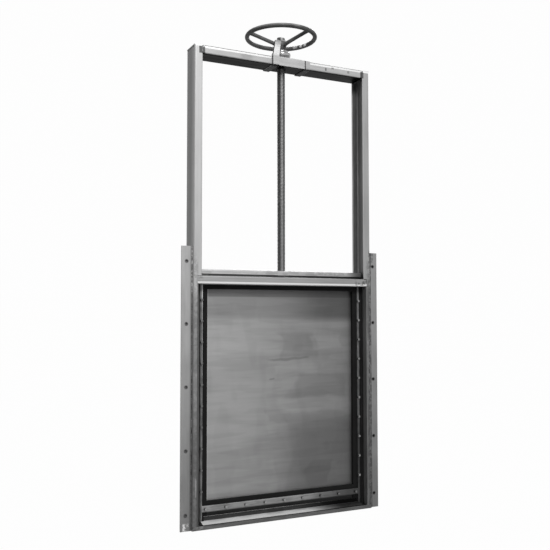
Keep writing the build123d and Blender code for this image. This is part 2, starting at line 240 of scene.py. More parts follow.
# frame
uprightGrain = (160.0, 160.0, 6.0)
levelGrain = (6.0, 160.0, 160.0)
frontFace = ("Y", -0.03, -0.022, 0.001)
frontFold = ("Y", -0.03, -0.02, 0.001)  # front face with a little of its fold
leftPostLook = {
    "tone": 0.262, "rough": 0.48, "cloud": 0.08, "grain": 0.05,
    "cloudStretch": (7.0, 7.0, 3.0), "grainStretch": uprightGrain,
    # painted light falloff: darker towards the bottom and a little towards the top, the front lighter than
    # the side, the side lighter towards its back
    "fades": (
        ("Z", 0.25, 1.2, 0.38, 1.0), ("Z", 1.3, 2.2, 1.08, 0.9), ("Y", -0.026, 0.022, 2.0, 1.0),
        ("Y", 0.04, 0.085, 1.0, 1.3),
    ),
    "lines": (("X", -0.4515, 0.0012, 0.0012, 0.8),),
    "patches": (
        ((("X", -0.487, -0.468, 0.002), frontFace, ("Z", 0.0, 1.25, 0.06)), 0.74, 45.0),  # worn
        ((("X", -0.463, -0.440, 0.013), frontFace, ("Z", -0.1, 1.10, 0.06)), 0.32, 0.0),  # painted shade on the inner edge
        ((("X", -0.495, -0.466, 0.002), frontFace, ("Z", 0.76, 1.05, 0.05)), 0.66, 0.0),  # dull stretch
        ((("X", -0.466, -0.440, 0.002), frontFace, ("Z", 2.25, 2.281, 0.003)), 0.13, 0.0),  # beam joint
        ((("X", -0.4775, -0.4725, 0.001), frontFold, ("Z", 0.16, 0.235, 0.01)), 2.0, 0.0),  # bright scuff
        ((("X", -0.5, -0.45, 0.001), frontFold, ("Z", 2.283, 2.3, 0.002)), 1.5, 0.0),  # painted highlight on the top edge
        ((("Y", -0.02, 0.2, 0.002), ("Z", 2.278, 2.3, 0.002)), 0.30, 0.0),  # painted shadow under the cap
    ),
    # painted shade on the side face
    "shades": (("X", -0.98, -0.1, 0.90, 1.0),),
}
leftPostSheet = sheetFinish("leftPostSheet", leftPostLook)
rightPostLook = {
    "tone": 0.40, "rough": 0.48, "cloud": 0.10, "grain": 0.05,
    "cloudStretch": (7.0, 7.0, 3.0), "grainStretch": uprightGrain,
    # painted light falloff, darker towards the bottom
    "fades": (("Z", 0.3, 1.3, 0.42, 1.0),),
    # painted highlight along the front's inner edge
    "lines": (("X", 0.4515, 0.0015, 0.001, 1.25),),
    "patches": (
        ((("X", 0.468, 0.487, 0.002), frontFace, ("Z", 0.0, 1.25, 0.06)), 0.68, 45.0),  # worn
        ((("X", 0.46, 0.50, 0.002), frontFace, ("Z", 0.0, 1.10, 0.06)), 0.80, 0.0),  # duller low down
        ((("X", 0.481, 0.493, 0.001), frontFold, ("Z", 0.0, 1.32, 0.02)), 0.30, 85.0),  # specks by the flange
        ((("X", 0.440, 0.490, 0.002), frontFace, ("Z", 0.90, 1.15, 0.05)), 0.66, 0.0),  # dull stretch
        ((("X", 0.440, 0.456, 0.002), frontFace, ("Z", 2.25, 2.279, 0.003)), 0.25, 0.0),  # beam joint
        ((("X", 0.440, 0.500, 0.002), ("Y", -0.015, 0.1, 0.005), ("Z", 1.95, 2.3, 0.25)), 0.78, 0.0),  # painted shade inside the top, under the beam
        ((("X", 0.45, 0.50, 0.001), frontFold, ("Z", 2.280, 2.3, 0.002)), 2.6, 0.0),  # painted highlight on the top edge
    ),
}
rightPostSheet = sheetFinish("rightPostSheet", rightPostLook)
capLook = {
    "tone": 0.80, "rough": 0.45, "cloud": 0.10, "grain": 0.05,
    "cloudStretch": (30.0, 30.0, 30.0), "grainStretch": levelGrain,
    # painted shade on the cap's left side
    "shades": (("X", -0.95, -0.45, 0.08, 1.0),),
}
capPlate = sheetFinish("capPlate", capLook)
anchorHoles = {"across": 0.518, "first": 0.072, "pitch": 0.295, "rows": 5, "holeRing": (0.008, 0.003, 0.42)}
holeHeights = [anchorHoles["first"] + anchorHoles["pitch"] * row for row in range(anchorHoles["rows"])]
flangeLook = {
    "tone": 0.475, "rough": 0.5, "cloud": 0.10, "grain": 0.06,
    "cloudStretch": (16.0, 16.0, 6.0), "grainStretch": uprightGrain,
    # painted light falloff, darker towards the bottom and on the right
    "fades": (("X", -0.1, 0.1, 1.0, 0.70), ("Z", 0.0, 1.1, 0.60, 1.0)),
    "lines": (("S", 0.493, 0.003, 0.006, 0.6), ("X", 0.5045, 0.0012, 0.0015, 0.42)),
    "patches": (
        ((("X", -0.530, -0.505, 0.004), ("Z", 0.0, 0.03, 0.008)), 3.5, 70.0),  # bright foot
        ((("X", 0.498, 0.507, 0.001), ("Z", 0.0, 1.33, 0.02)), 0.45, 45.0),  # dirt along the weld
        ((("X", 0.507, 0.550, 0.002), ("Z", 0.30, 0.52, 0.12)), 1.15, 0.0),
        ((("X", 0.498, 0.520, 0.003), ("Z", 1.26, 1.33, 0.02)), 0.55, 50.0),  # burnt top
    ),
    # darker ring around each anchor hole
    "rings": tuple((anchorHoles["across"], height, *anchorHoles["holeRing"]) for height in holeHeights),
}
flangePlate = sheetFinish("flangePlate", flangeLook)
angleLook = {
    "tone": 0.20, "rough": 0.5, "cloud": 0.2, "grain": 0.1,
    "cloudStretch": (12.0, 12.0, 4.0), "grainStretch": uprightGrain,
    # painted shade on the left front next to the post
    "patches": (((("X", -0.475, -0.460, 0.001), frontFold), 0.42, 0.0),),
    "hollows": (
        # painted shade in the right recess behind the clamp
        ((("X", 0.42, 0.4640, 0.001), ("Y", 0.0, 0.04, 0.001)), 0.38),
        ((("X", 0.442, 0.4700, 0.001), ("Y", 0.009, 0.04, 0.004)), 0.30),
        ((("X", -0.425, 0.44, 0.004), ("Z", 0.0, 0.08, 0.002)), 0.22),  # painted shade below the bottom seal
    ),
}
angleSheet = sheetFinish("angleSheet", angleLook)
clampLook = {
    "tone": 0.122, "rough": 0.5, "cloud": 0.45, "grain": 0.2,
    "cloudStretch": (45.0, 45.0, 22.0), "grainStretch": uprightGrain,
    "fades": (("X", -0.1, 0.1, 1.0, 1.3), ("Z", 0.1, 0.9, 0.75, 1.0)),
    "lines": (("X", -0.4318, 0.0010, 0.0008, 3.4), ("X", 0.4318, 0.0010, 0.0008, 1.3)),  # painted highlights along the inner edges
    "patches": (
        ((("X", -0.45, -0.42, 0.001), ("Z", 1.05, 1.2, 0.03)), 2.2, 0.0),
        ((("X", 0.42, 0.45, 0.001), ("Z", -0.2, 0.32, 0.2)), 0.35, 0.0),
    ),
}
clampBar = sheetFinish("clampBar", clampLook)
levelClampLook = {
    "tone": 0.305, "rough": 0.45, "cloud": 0.2, "grain": 0.12,
    "cloudStretch": (7.0, 14.0, 14.0), "grainStretch": levelGrain,
    "fades": (("X", 0.05, 0.40, 1.1, 0.20),),
    "lines": (("Z", 0.0745, 0.0015, 0.0015, 0.45), ("Z", 0.1005, 0.0012, 0.001, 1.35)),  # painted shadow along the lower edge, painted highlight along the upper edge
    "blots": (
        {"stretch": (14.0, 30.0, 90.0), "shift": (2.3, 0.0, 0.9), "edge": (0.5, 0.6), "factor": 0.75},
    ),
}
levelClampBar = sheetFinish("levelClampBar", levelClampLook)
sillLook = {
    "tone": 0.13, "rough": 0.5, "cloud": 0.4, "grain": 0.15,
    "cloudStretch": (12.0, 30.0, 60.0), "grainStretch": levelGrain,
    "patches": (((("X", -0.492, -0.44, 0.01), ("Z", 0.0, 0.04, 0.01)), 1.9, 60.0),),
}
sillSheet = sheetFinish("sillSheet", sillLook)
# painted highlight along the ledge, brightest at its front edge and fading out to the right; painted shade on
# its faces that don't look up
ledgeLook = {
    "tone": 0.95, "rough": 0.4, "cloud": 0.2, "grain": 0.14, "metal": 0.0,
    "cloudStretch": (6.0, 40.0, 40.0), "grainStretch": (5.0, 220.0, 220.0),
    "fades": (("X", 0.0, 0.33, 1.12, 0.03), ("Y", -0.022, 0.004, 1.25, 0.80)),
    "blots": (
        {"stretch": (9.0, 60.0, 60.0), "shift": (1.3, 0.0, 0.4), "edge": (0.50, 0.58), "factor": 0.78},
    ),
    "shades": (("Z", 0.3, 0.8, 0.08, 1.0),),
}
ledgeSheet = sheetFinish("ledgeSheet", ledgeLook)
transomLook = {
    "tone": 0.43, "rough": 0.42, "cloud": 0.10, "grain": 0.05,
    "cloudStretch": (4.0, 12.0, 12.0), "grainStretch": levelGrain,
    "fades": (("X", -0.1, 0.4, 1.0, 0.80),),
    "lines": (("Z", 1.1515, 0.0042, 0.002, 2.9),),  # painted highlight on the lower edge
    "patches": (
        ((("X", 0.405, 0.47, 0.012), ("Z", 1.152, 1.186, 0.003)), 0.36, 55.0),
        ((("X", -0.47, -0.45, 0.012), ("Z", 1.145, 1.186, 0.003)), 0.7, 70.0),
    ),
}
transomSheet = sheetFinish("transomSheet", transomLook)
beamLook = {
    "tone": 0.465, "rough": 0.45, "cloud": 0.10, "grain": 0.06,
    "cloudStretch": (5.0, 12.0, 12.0), "grainStretch": levelGrain,
    "fades": (("X", -0.3, 0.3, 0.86, 1.0),),
    "lines": (("Z", 2.2810, 0.0036, 0.0015, 2.0),),  # painted highlight under the top edge
    "patches": (
        ((("Y", -0.03, -0.0215, 0.001), ("Z", 2.2873, 2.2917, 0.0012)), 0.22, 0.0),  # dark top edge
        ((("S", 0.438, 0.46, 0.002), ("Z", 2.245, 2.281, 0.002)), 0.14, 0.0),  # joints with the posts
        ((("X", 0.224, 0.231, 0.002), frontFace, ("Z", 2.258, 2.272, 0.002)), 0.35, 0.0),  # four small marks
        ((("X", 0.262, 0.274, 0.002), frontFace, ("Z", 2.272, 2.279, 0.002)), 0.45, 0.0),
        ((("X", 0.358, 0.368, 0.003), frontFace, ("Z", 2.263, 2.274, 0.002)), 0.55, 0.0),
        ((("X", -0.235, -0.205, 0.03), frontFace, ("Z", 2.256, 2.276, 0.006)), 0.80, 0.0),
    ),
    # painted shade on the underside
    "shades": (("Z", -0.9, -0.3, 0.012, 1.0),),
}
beamTube = sheetFinish("beamTube", beamLook)
bracketLook = {
    "tone": 0.43, "rough": 0.45, "cloud": 0.14, "grain": 0.08,
    "cloudStretch": (9.0, 14.0, 14.0), "grainStretch": levelGrain,
    # painted highlight on the top edge
    "fades": (("Z", 2.285, 2.300, 1.0, 1.85),),
    "lines": (("X", 0.1055, 0.0028, 0.0015, 0.08),),
    # painted shade on the underside and the left side
    "shades": (("Z", -0.9, -0.3, 0.06, 1.0), ("X", -0.8, -0.3, 0.12, 1.0)),
}
bracketPlate = sheetFinish("bracketPlate", bracketLook)

# leaf
leafLook = {
    "tone": 0.41, "rough": 0.45, "cloud": 0.05, "grain": 0.03,
    "cloudStretch": (1.6, 8.0, 7.0), "grainStretch": (5.0, 90.0, 90.0),
    # painted light and shade: darker to the right and in the right recess, a little darker low down, darker
    # under the transom
    "fades": (
        ("X", -0.42, 0.38, 1.05, 0.60), ("X", 0.33, 0.42, 1.0, 0.70), ("Z", 0.0, 0.95, 0.95, 1.0),
        ("Z", 0.955, 1.0, 1.0, 0.70),
    ),
    "lines": (("X", -0.398, 0.004, 0.003, 1.12),),
    "patches": (
        ((("X", -0.392, 0.6, 0.003), ("Z", 1.089, 1.3, 0.003)), 0.66, 0.0),  # painted shadow of the transom under the top seal
        ((("X", 0.15, 0.7, 0.25), ("Z", -0.2, 0.40, 0.12)), 0.66, 0.0),  # two corners darker, painted shade
        ((("X", 0.3, 0.7, 0.3), ("Z", 1.0, 1.3, 0.05)), 0.55, 0.0),
    ),
    "wave": (6.0, (0.30, 0.0, 0.07)),
    "stains": (
        ((("X", -0.05, 0.08, 0.03), ("Z", 0.777, 0.782, 0.007)), 0.74),
        ((("X", 0.08, 0.34, 0.04), ("Z", 0.59, 0.69, 0.025)), 0.84),
        ((("X", 0.03, 0.36, 0.05), ("Z", 0.515, 0.575, 0.02)), 1.14),
        ((("X", 0.05, 0.50, 0.06), ("Z", 0.10, 0.48, 0.03)), 0.90),
        ((("X", 0.18, 0.35, 0.04), ("Z", 0.83, 0.88, 0.018)), 1.18),
        ((("X", 0.0, 0.185, 0.03), ("Z", 0.795, 0.895, 0.03)), 0.86),
        ((("X", -0.05, 0.22, 0.04), ("Z", 0.715, 0.74, 0.015)), 1.10),
        ((("X", -0.11, -0.07, 0.012), ("Z", 0.685, 0.688, 0.005)), 0.72),
        ((("X", -0.10, 0.03, 0.02), ("Z", 0.475, 0.52, 0.012)), 0.90),
        ((("X", 0.14, 0.24, 0.03), ("Z", 0.16, 0.24, 0.03)), 0.84),
        ((("X", -0.42, -0.10, 0.05), ("Z", 0.12, 0.34, 0.04)), 0.94),
        ((("X", -0.42, -0.02, 0.06), ("Z", 0.89, 0.935, 0.02)), 1.07),
    ),
    "blots": (
        {"stretch": (1.4, 1.0, 13.0), "shift": (0.0, 0.0, 0.0), "edge": (0.46, 0.56), "factor": 1.10},
        {"stretch": (3.0, 1.0, 26.0), "shift": (3.1, 0.0, 1.7), "edge": (0.50, 0.56), "factor": 0.93},
        {"stretch": (9.0, 1.0, 4.0), "shift": (8.3, 0.0, 4.2), "edge": (0.50, 0.58), "factor": 0.94},
    ),
}
leafSheet = sheetFinish("leafSheet", leafLook)
leafTopLook = {
    "tone": 0.61, "rough": 0.42, "cloud": 0.12, "grain": 0.08,
    "cloudStretch": (5.0, 14.0, 14.0), "grainStretch": levelGrain,
    # painted shade: darker to the right, darkest in the right post's shade
    "fades": (("X", -0.4, 0.45, 1.0, 0.62), ("X", 0.36, 0.43, 1.0, 0.35)),
    "patches": (((("X", 0.18, 0.36, 0.02), ("Z", 1.204, 1.23, 0.002)), 1.35, 55.0),),
    "blots": (
        {"stretch": (14.0, 40.0, 60.0), "shift": (0.7, 0.0, 0.2), "edge": (0.52, 0.58), "factor": 0.82},
    ),
}
leafTopSheet = sheetFinish("leafTopSheet", leafTopLook)
ribLook = {
    "tone": 0.42, "rough": 0.45, "cloud": 0.14, "grain": 0.08,
    "cloudStretch": (4.0, 12.0, 6.0), "grainStretch": levelGrain,
}
ribBar = sheetFinish("ribBar", ribLook)
stemLook = {
    "tone": 0.30, "rough": 0.6, "cloud": 0.15, "grain": 0.1, "metal": 0.5, "gloss": 0.3,
    "cloudStretch": (20.0, 20.0, 5.0), "grainStretch": (60.0, 60.0, 200.0),
    # painted highlight on the top end, darker up towards the bracket; painted shade on both flanks with a
    # painted highlight between them
    "fades": (("Z", 2.393, 2.398, 1.0, 2.5), ("Z", 2.12, 2.26, 1.0, 0.6)),
    "shades": (("X", -0.75, -0.25, 0.25, 1.15), ("X", -0.05, 0.40, 1.0, 0.25)),
}
stemSteel = sheetFinish("stemSteel", stemLook)

# drive
rimTop = ("Z", 2.410, 2.45, 0.002)
castLook = {
    "tone": 0.082, "rough": 0.55, "cloud": 0.35, "grain": 0.2, "metal": 0.25, "gloss": 0.14,
    "cloudStretch": (14.0, 14.0, 14.0), "grainStretch": (260.0, 260.0, 260.0), "bump": 0.0004,
    # painted light: lighter on the left and on the far side
    "fades": (("X", -0.19, -0.05, 1.15, 1.0), ("Y", 0.05, 0.2, 1.0, 1.25)),
    "patches": (
        ((("X", -0.112, 0.112, 0.006), ("Y", -0.077, 0.147, 0.006), ("Z", 2.38, 2.5, 0.004)), 1.4, 0.0),
        ((("X", -0.2, 0.0, 0.04), ("Y", -0.3, -0.05, 0.05), ("Z", 2.4175, 2.45, 0.004)), 2.6, 0.0),
        ((("X", 0.1, 0.2, 0.001), ("Y", 0.122, 0.139, 0.004), rimTop), 4.0, 0.0),  # painted highlights on the rim
        ((("X", 0.1, 0.2, 0.001), ("Y", 0.094, 0.107, 0.002), rimTop), 9.0, 0.0),
        ((("X", 0.1, 0.2, 0.001), ("Y", 0.064, 0.081, 0.002), rimTop), 9.0, 0.0),
    ),
    # painted light on faces that look up
    "shades": (("Z", 0.2, 0.9, 1.0, 1.4),),
}
castRim = sheetFinish("castRim", castLook)
housingLook = {
    "tone": 0.42, "rough": 0.27, "cloud": 0.25, "grain": 0.15, "metal": 0.85,
    "cloudStretch": (24.0, 24.0, 24.0), "grainStretch": (260.0, 260.0, 260.0), "bump": 0.0004,
}
castHousing = sheetFinish("castHousing", housingLook)
# painted shade: the stem nut darkened to stand in for the shade under the wheel's hub
bronzeLook = {
    "tone": 0.05, "rough": 0.5, "cloud": 0.2, "grain": 0.15, "metal": 0.3, "gloss": 0.3,
    "cloudStretch": (30.0, 30.0, 30.0), "grainStretch": (40.0, 40.0, 400.0),
}
shadeDarkBronze = sheetFinish("shadeDarkBronze", bronzeLook)

# seals, slides, bolts and welds
rubberLook = {
    "tone": 0.011, "rough": 0.7, "cloud": 0.3, "grain": 0.2, "metal": 0.0, "gloss": 0.12,
    "cloudStretch": (9.0, 9.0, 9.0), "grainStretch": (300.0, 300.0, 300.0), "bump": 0.0003,
    "patches": (((("X", -0.445, -0.4414, 0.0003),), 4.5, 0.0),),  # lighter outer side
}
sealRubber = sheetFinish("sealRubber", rubberLook)
plasticLook = {
    "tone": 0.11, "rough": 0.5, "cloud": 0.2, "grain": 0.15, "metal": 0.0, "gloss": 0.2,
    "cloudStretch": (9.0, 9.0, 4.0), "grainStretch": (200.0, 200.0, 20.0),
}
slidePlastic = sheetFinish("slidePlastic", plasticLook)
boltLook = {
    "tone": 0.30, "rough": 0.35, "cloud": 0.25, "grain": 0.15, "metal": 0.6,
    "cloudStretch": (60.0, 60.0, 60.0), "grainStretch": (200.0, 200.0, 200.0),
    # painted shade: the left-side bolts and the lower right ones darker, faces that look left darker
    "fades": (("X", -0.43, -0.415, 0.5, 1.0),),
    "patches": (((("X", 0.15, 0.6, 0.06), ("Z", 0.0, 0.12, 0.01)), 0.45, 0.0),),
    "shades": (("X", -0.8, -0.2, 0.12, 1.0),),
}
boltSteel = sheetFinish("boltSteel", boltLook)
weldLook = {
    "tone": 0.13, "rough": 0.4, "cloud": 0.85, "grain": 0.5, "metal": 0.5,
    "cloudStretch": (50.0, 50.0, 30.0), "grainStretch": (190.0, 190.0, 190.0), "bump": 0.0006,
    "fades": (("X", -0.1, 0.1, 1.0, 0.6),),
    # painted highlights on the upper stretch of the flange welds
    "patches": (((("Z", 1.12, 1.33, 0.03),), 5.0, 60.0),),
}
weldMetal = sheetFinish("weldMetal", weldLook)

nodeFinishes = {
    "left_post": leftPostSheet, "right_post": rightPostSheet, "post_cap": capPlate,
    "anchor_flange": flangePlate, "seal_angle": angleSheet,
    "clamp_strip": clampBar, "seal": sealRubber, "guide_strip": slidePlastic, "leaf_edge_bar": ribBar,
    "sill_channel": sillSheet, "sill_ledge": ledgeSheet, "bottom_seal_plate": angleSheet,
    "transom": transomSheet, "top_clamp_strip": levelClampBar, "bottom_clamp_strip": levelClampBar,
    "head_beam": beamTube, "drive_bracket": bracketPlate, "top_seal": sealRubber, "bottom_seal": sealRubber,
    "bearing_housing": castHousing, "bearing_cap": castHousing, "handwheel": castRim,
    "stem_nut": shadeDarkBronze, "lock_nut": boltSteel, "stem": stemSteel, "stem_block": ribBar,
    "leaf_plate": leafSheet, "leaf_beam": leafTopSheet,
}
for nodeName, node in nodes.items():
    plainName = nodeName.removeprefix("left_").removeprefix("right_")
    finish = nodeFinishes.get(nodeName) or nodeFinishes.get(plainName) or ribBar
    node.data.materials.clear()
    node.data.materials.append(finish)
print("finishes made:", len(bpy.data.materials))


# mesh tools
def settle(bm, name, finish, body, sharp=35.0, mergeWithin=0.000002):
    bmesh.ops.remove_doubles(bm, verts=bm.verts[:], dist=mergeWithin)
    bmesh.ops.recalc_face_normals(bm, faces=bm.faces[:])
    mesh = bpy.data.meshes.new(name)
    bm.to_mesh(mesh)
    bm.free()
    mesh.materials.append(finish)
    for polygon in mesh.polygons:
        polygon.use_smooth = True
    mesh.set_sharp_from_angle(angle=math.radians(sharp))
    piece = bpy.data.objects.new(name, mesh)
    scene.collection.objects.link(piece)
    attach(piece, body)
    return piece


def vertsOf(items):
    return [item for item in items if isinstance(item, bmesh.types.BMVert)]


def edgesOf(items):
    return [item for item in items if isinstance(item, bmesh.types.BMEdge)]


def growEdges(bm, edges):  # extrudes them, gives the new verts and the far edges
    grown = bmesh.ops.extrude_edge_only(bm, edges=edges)["geom"]
    verts = vertsOf(grown)
    return verts, [edge for edge in edgesOf(grown) if all(vert in verts for vert in edge.verts)]


def turnProfile(bm, profile, line, floor, steps):  # closed profile of radius and height over the floor
    ring = [bm.verts.new((radius, line, floor + height)) for radius, height in profile]
    edges = [bm.edges.new(pair) for pair in zip(ring, ring[1:] + ring[:1])]
    bmesh.ops.spin(
        bm, geom=ring + edges, cent=(0.0, line, 0.0), axis=(0.0, 0.0, 1.0), angle=math.tau, steps=steps,
        use_merge=True, use_duplicate=False,
    )


# stem: one turn of left-hand trapezoid thread, doubled up until it is taller than the bar
stemLow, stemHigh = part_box("stem")
stemLine = (stemLow.y + stemHigh.y) / 2
threadShape = {
    "crest": 0.020, "root": 0.0168, "pitch": 0.007, "steps": 16, "mergeWithin": 0.00001,
    "rootFlat": 0.0018, "crestFrom": 0.0028, "crestTo": 0.0060,
}
pitch, crest, root = threadShape["pitch"], threadShape["crest"], threadShape["root"]
profile = [
    (root, 0.0), (root, threadShape["rootFlat"]), (crest, threadShape["crestFrom"]),
    (crest, threadShape["crestTo"]), (root, pitch),
]
bm = bmesh.new()
corners = [bm.verts.new((radius, stemLine, stemLow.z - pitch + height)) for radius, height in profile]
for pair in zip(corners, corners[1:]):
    bm.edges.new(pair)
bmesh.ops.spin(
    bm, geom=bm.verts[:] + bm.edges[:], cent=(0.0, stemLine, 0.0), axis=(0.0, 0.0, 1.0),
    dvec=(0.0, 0.0, pitch / threadShape["steps"]), angle=-math.tau, steps=threadShape["steps"],
    use_duplicate=False,
)
turns = 1
while turns * pitch < stemHigh.z - stemLow.z + 2 * pitch:
    copied = bmesh.ops.duplicate(bm, geom=bm.verts[:] + bm.edges[:] + bm.faces[:])["geom"]
    bmesh.ops.translate(bm, vec=(0.0, 0.0, turns * pitch), verts=vertsOf(copied))
    turns *= 2
bmesh.ops.remove_doubles(bm, verts=bm.verts[:], dist=threadShape["mergeWithin"])
for level, up in ((stemLow.z, -1.0), (stemHigh.z, 1.0)):  # cut level at both ends and closed
    cut = bmesh.ops.bisect_plane(
        bm, geom=bm.verts[:] + bm.edges[:] + bm.faces[:], plane_co=(0.0, 0.0, level),
        plane_no=(0.0, 0.0, up), clear_outer=True,
    )
    bmesh.ops.edgeloop_fill(bm, edges=edgesOf(cut["geom_cut"]))
stemPiece = settle(bm, "threadedStem", stemSteel, "leaf")
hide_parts("stem")
print("stem threaded:", turns, "turns")


# handwheel: round rim, three dished spokes that flare into rim and hub
wheelLow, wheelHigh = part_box("handwheel")
wheelShape = {
    "rimWide": 0.022, "rimTall": 0.022, "rimSides": 20, "rimSteps": 120,
    "hub": 0.027, "bore": 0.0232, "hubTall": 0.022, "hubBevel": 0.002, "hubRound": 0.003, "hubSteps": 48,
    "spokes": 3, "spokeTurn": 57.0, "spokeWide": 0.020, "spokeTall": 0.016, "spokeSides": 14,
    "spokeStart": 0.026, "rootDrop": 0.012, "rimSink": 0.006,
    "swells": ((0.0, 1.35), (0.05, 1.12), (0.12, 1.0), (0.5, 0.96), (0.88, 1.0), (0.95, 1.06), (1.0, 1.1)),
}
rimRadius = (wheelHigh.x - wheelLow.x - wheelShape["rimWide"]) / 2
rimZ = wheelHigh.z - wheelShape["rimTall"] / 2
hubCentre = (0.0, stemLine, 0.0)
bm = bmesh.new()
stand = Matrix.Translation((rimRadius, stemLine, rimZ)) @ Matrix.Rotation(math.pi / 2, 4, "X")
oval = Matrix.Diagonal((wheelShape["rimWide"], wheelShape["rimTall"], 1.0, 1.0))
bmesh.ops.create_circle(bm, cap_ends=False, segments=wheelShape["rimSides"], radius=0.5, matrix=stand @ oval)
bmesh.ops.spin(
    bm, geom=bm.verts[:] + bm.edges[:], cent=hubCentre, axis=(0.0, 0.0, 1.0), angle=math.tau,
    steps=wheelShape["rimSteps"], use_merge=True, use_duplicate=False,
)
hubOut, hubIn, hubTall = wheelShape["hub"], wheelShape["bore"], wheelShape["hubTall"]
hubBevel, hubRound = wheelShape["hubBevel"], wheelShape["hubRound"]
hubProfile = (
    (hubIn, 0.0), (hubOut - hubBevel, 0.0), (hubOut, hubBevel), (hubOut, hubTall - hubRound),
    (hubOut - hubRound / 3, hubTall - hubRound / 3), (hubOut - hubRound, hubTall), (hubIn, hubTall),
)
turnProfile(bm, hubProfile, stemLine, wheelLow.z, wheelShape["hubSteps"])
inward = Vector((wheelShape["spokeStart"], 0.0, wheelLow.z + hubTall - wheelShape["rootDrop"]))
outward = Vector((rimRadius - wheelShape["rimSink"], 0.0, rimZ))
run = outward - inward
lean = run.to_track_quat("Z", "Y").to_matrix().to_4x4()
flat = Matrix.Diagonal((wheelShape["spokeTall"], wheelShape["spokeWide"], 1.0, 1.0))
for spoke in range(wheelShape["spokes"]):
    verts = bmesh.ops.create_circle(
        bm, cap_ends=False, segments=wheelShape["spokeSides"], radius=0.5,
        matrix=Matrix.Translation(inward) @ lean @ flat,
    )["verts"]
    loop = list({edge for vert in verts for edge in vert.link_edges})
    reached, size = wheelShape["swells"][0]
    bmesh.ops.scale(bm, vec=(size,) * 3, space=Matrix.Translation(-inward), verts=verts)
    spokeVerts = list(verts)
    for station, swell in wheelShape["swells"][1:]:
        verts, loop = growEdges(bm, loop)
        bmesh.ops.translate(bm, vec=run * (station - reached), verts=verts)
        middle = inward + run * station
        bmesh.ops.scale(bm, vec=(swell / size,) * 3, space=Matrix.Translation(-middle), verts=verts)
        reached, size = station, swell
        spokeVerts += verts
    turn = math.radians(wheelShape["spokeTurn"]) + math.tau * spoke / wheelShape["spokes"]
    bmesh.ops.rotate(bm, cent=(0.0, 0.0, 0.0), matrix=Matrix.Rotation(turn, 3, "Z"), verts=spokeVerts)
    bmesh.ops.translate(bm, vec=hubCentre, verts=spokeVerts)
wheelPiece = settle(bm, "dishedWheel", castRim, "wheel")
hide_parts("handwheel")
print("handwheel spun")


# bearing housing: turned profile with a belly, radius and height over its floor
housingShape = {
    "steps": 64, "sharp": 28.0,
    "profile": (
        (0.0252, 0.000), (0.0372, 0.000), (0.0380, 0.001), (0.0380, 0.008), (0.0392, 0.0115),
        (0.0430, 0.0165), (0.0470, 0.0220), (0.0488, 0.0265), (0.0492, 0.0310), (0.0484, 0.0350),
        (0.0460, 0.0385), (0.0425, 0.0412), (0.0408, 0.0420), (0.0325, 0.0420), (0.0325, 0.0065),
        (0.0252, 0.0065),
    ),
}
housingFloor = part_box("bearing_housing")[0].z
bm = bmesh.new()
turnProfile(bm, housingShape["profile"], stemLine, housingFloor, housingShape["steps"])
housingPiece = settle(bm, "bearingBody", castHousing, "frame", housingShape["sharp"])
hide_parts("bearing_housing")
print("bearing housing turned")


# clamp bolts: hexagon heads on washers
clampBolts = {
    "washer": 0.0150, "washerThick": 0.0016, "washerSides": 20,
    "acrossFlats": 0.012, "headTall": 0.0075, "headBevel": 0.0012,
    "bottomPitch": 0.1035, "bottomCount": 9, "sidePitch": 0.1, "sideCount": 10, "sideFirst": 0.17,
}


def addBolt(bm, at, out, look):
    stand = Matrix.Translation(at) @ Vector(out).to_track_quat("Z", "Y").to_matrix().to_4x4()
    thick, tall, washer = look["washerThick"], look["headTall"], look["washer"] / 2
    bmesh.ops.create_cone(
        bm, cap_ends=True, segments=look["washerSides"], radius1=washer, radius2=washer - thick / 3,
        depth=thick, matrix=stand @ Matrix.Translation((0.0, 0.0, thick / 2)),
    )
    corner = look["acrossFlats"] / math.sqrt(3)
    head = bmesh.ops.create_cone(
        bm, cap_ends=True, segments=6, radius1=corner, radius2=corner, depth=tall,
        matrix=stand @ Matrix.Translation((0.0, 0.0, thick + tall / 2)),
    )["verts"]
    faces = {face for vert in head for face in vert.link_faces}
    top = max(faces, key=lambda face: face.calc_center_median().dot(out))
    bmesh.ops.bevel(
        bm, geom=list(top.edges), offset=look["headBevel"], offset_type="OFFSET", segments=2, profile=0.5,
        affect="EDGES", material=-1,
    )


bm = bmesh.new()
low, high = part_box("bottom_clamp_strip")
for place in range(clampBolts["bottomCount"]):
    x = (place - (clampBolts["bottomCount"] - 1) / 2) * clampBolts["bottomPitch"]
    addBolt(bm, (x, low.y, (low.z + high.z) / 2), (0.0, -1.0, 0.0), clampBolts)
for side in ("left", "right"):
    low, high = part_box(side + "_clamp_strip")
    for place in range(clampBolts["sideCount"]):
        z = clampBolts["sideFirst"] + place * clampBolts["sidePitch"]
        addBolt(bm, ((low.x + high.x) / 2, low.y, z), (0.0, -1.0, 0.0), clampBolts)
settle(bm, "clampBolts", boltSteel, "frame")
print("clamp bolts set")


# thin dark discs at the back of the anchor holes, painted shade inside them, darker on the right
holeDiscs = {"radius": 0.0069, "thick": 0.002, "sides": 24}
holeLook = {
    "tone": 0.18, "rough": 0.6, "cloud": 0.2, "grain": 0.1, "gloss": 0.1,
    "cloudStretch": (60.0, 60.0, 60.0), "grainStretch": (200.0, 200.0, 200.0),
    "fades": (("X", -0.1, 0.1, 1.0, 0.12),),
}
holeShade = sheetFinish("holeShade", holeLook)
bm = bmesh.new()
for side in ("left", "right"):
    low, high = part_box(side + "_anchor_flange")
    x = math.copysign(anchorHoles["across"], low.x)
    for z in holeHeights:
        middle = Matrix.Translation((x, high.y - holeDiscs["thick"] / 2, z))
        bmesh.ops.create_cone(
            bm, cap_ends=True, segments=holeDiscs["sides"], radius1=holeDiscs["radius"],
            radius2=holeDiscs["radius"], depth=holeDiscs["thick"],
            matrix=middle @ Matrix.Rotation(math.pi / 2, 4, "X"),
        )
settle(bm, "holeShadeDiscs", holeShade, "frame")
print("hole discs set")


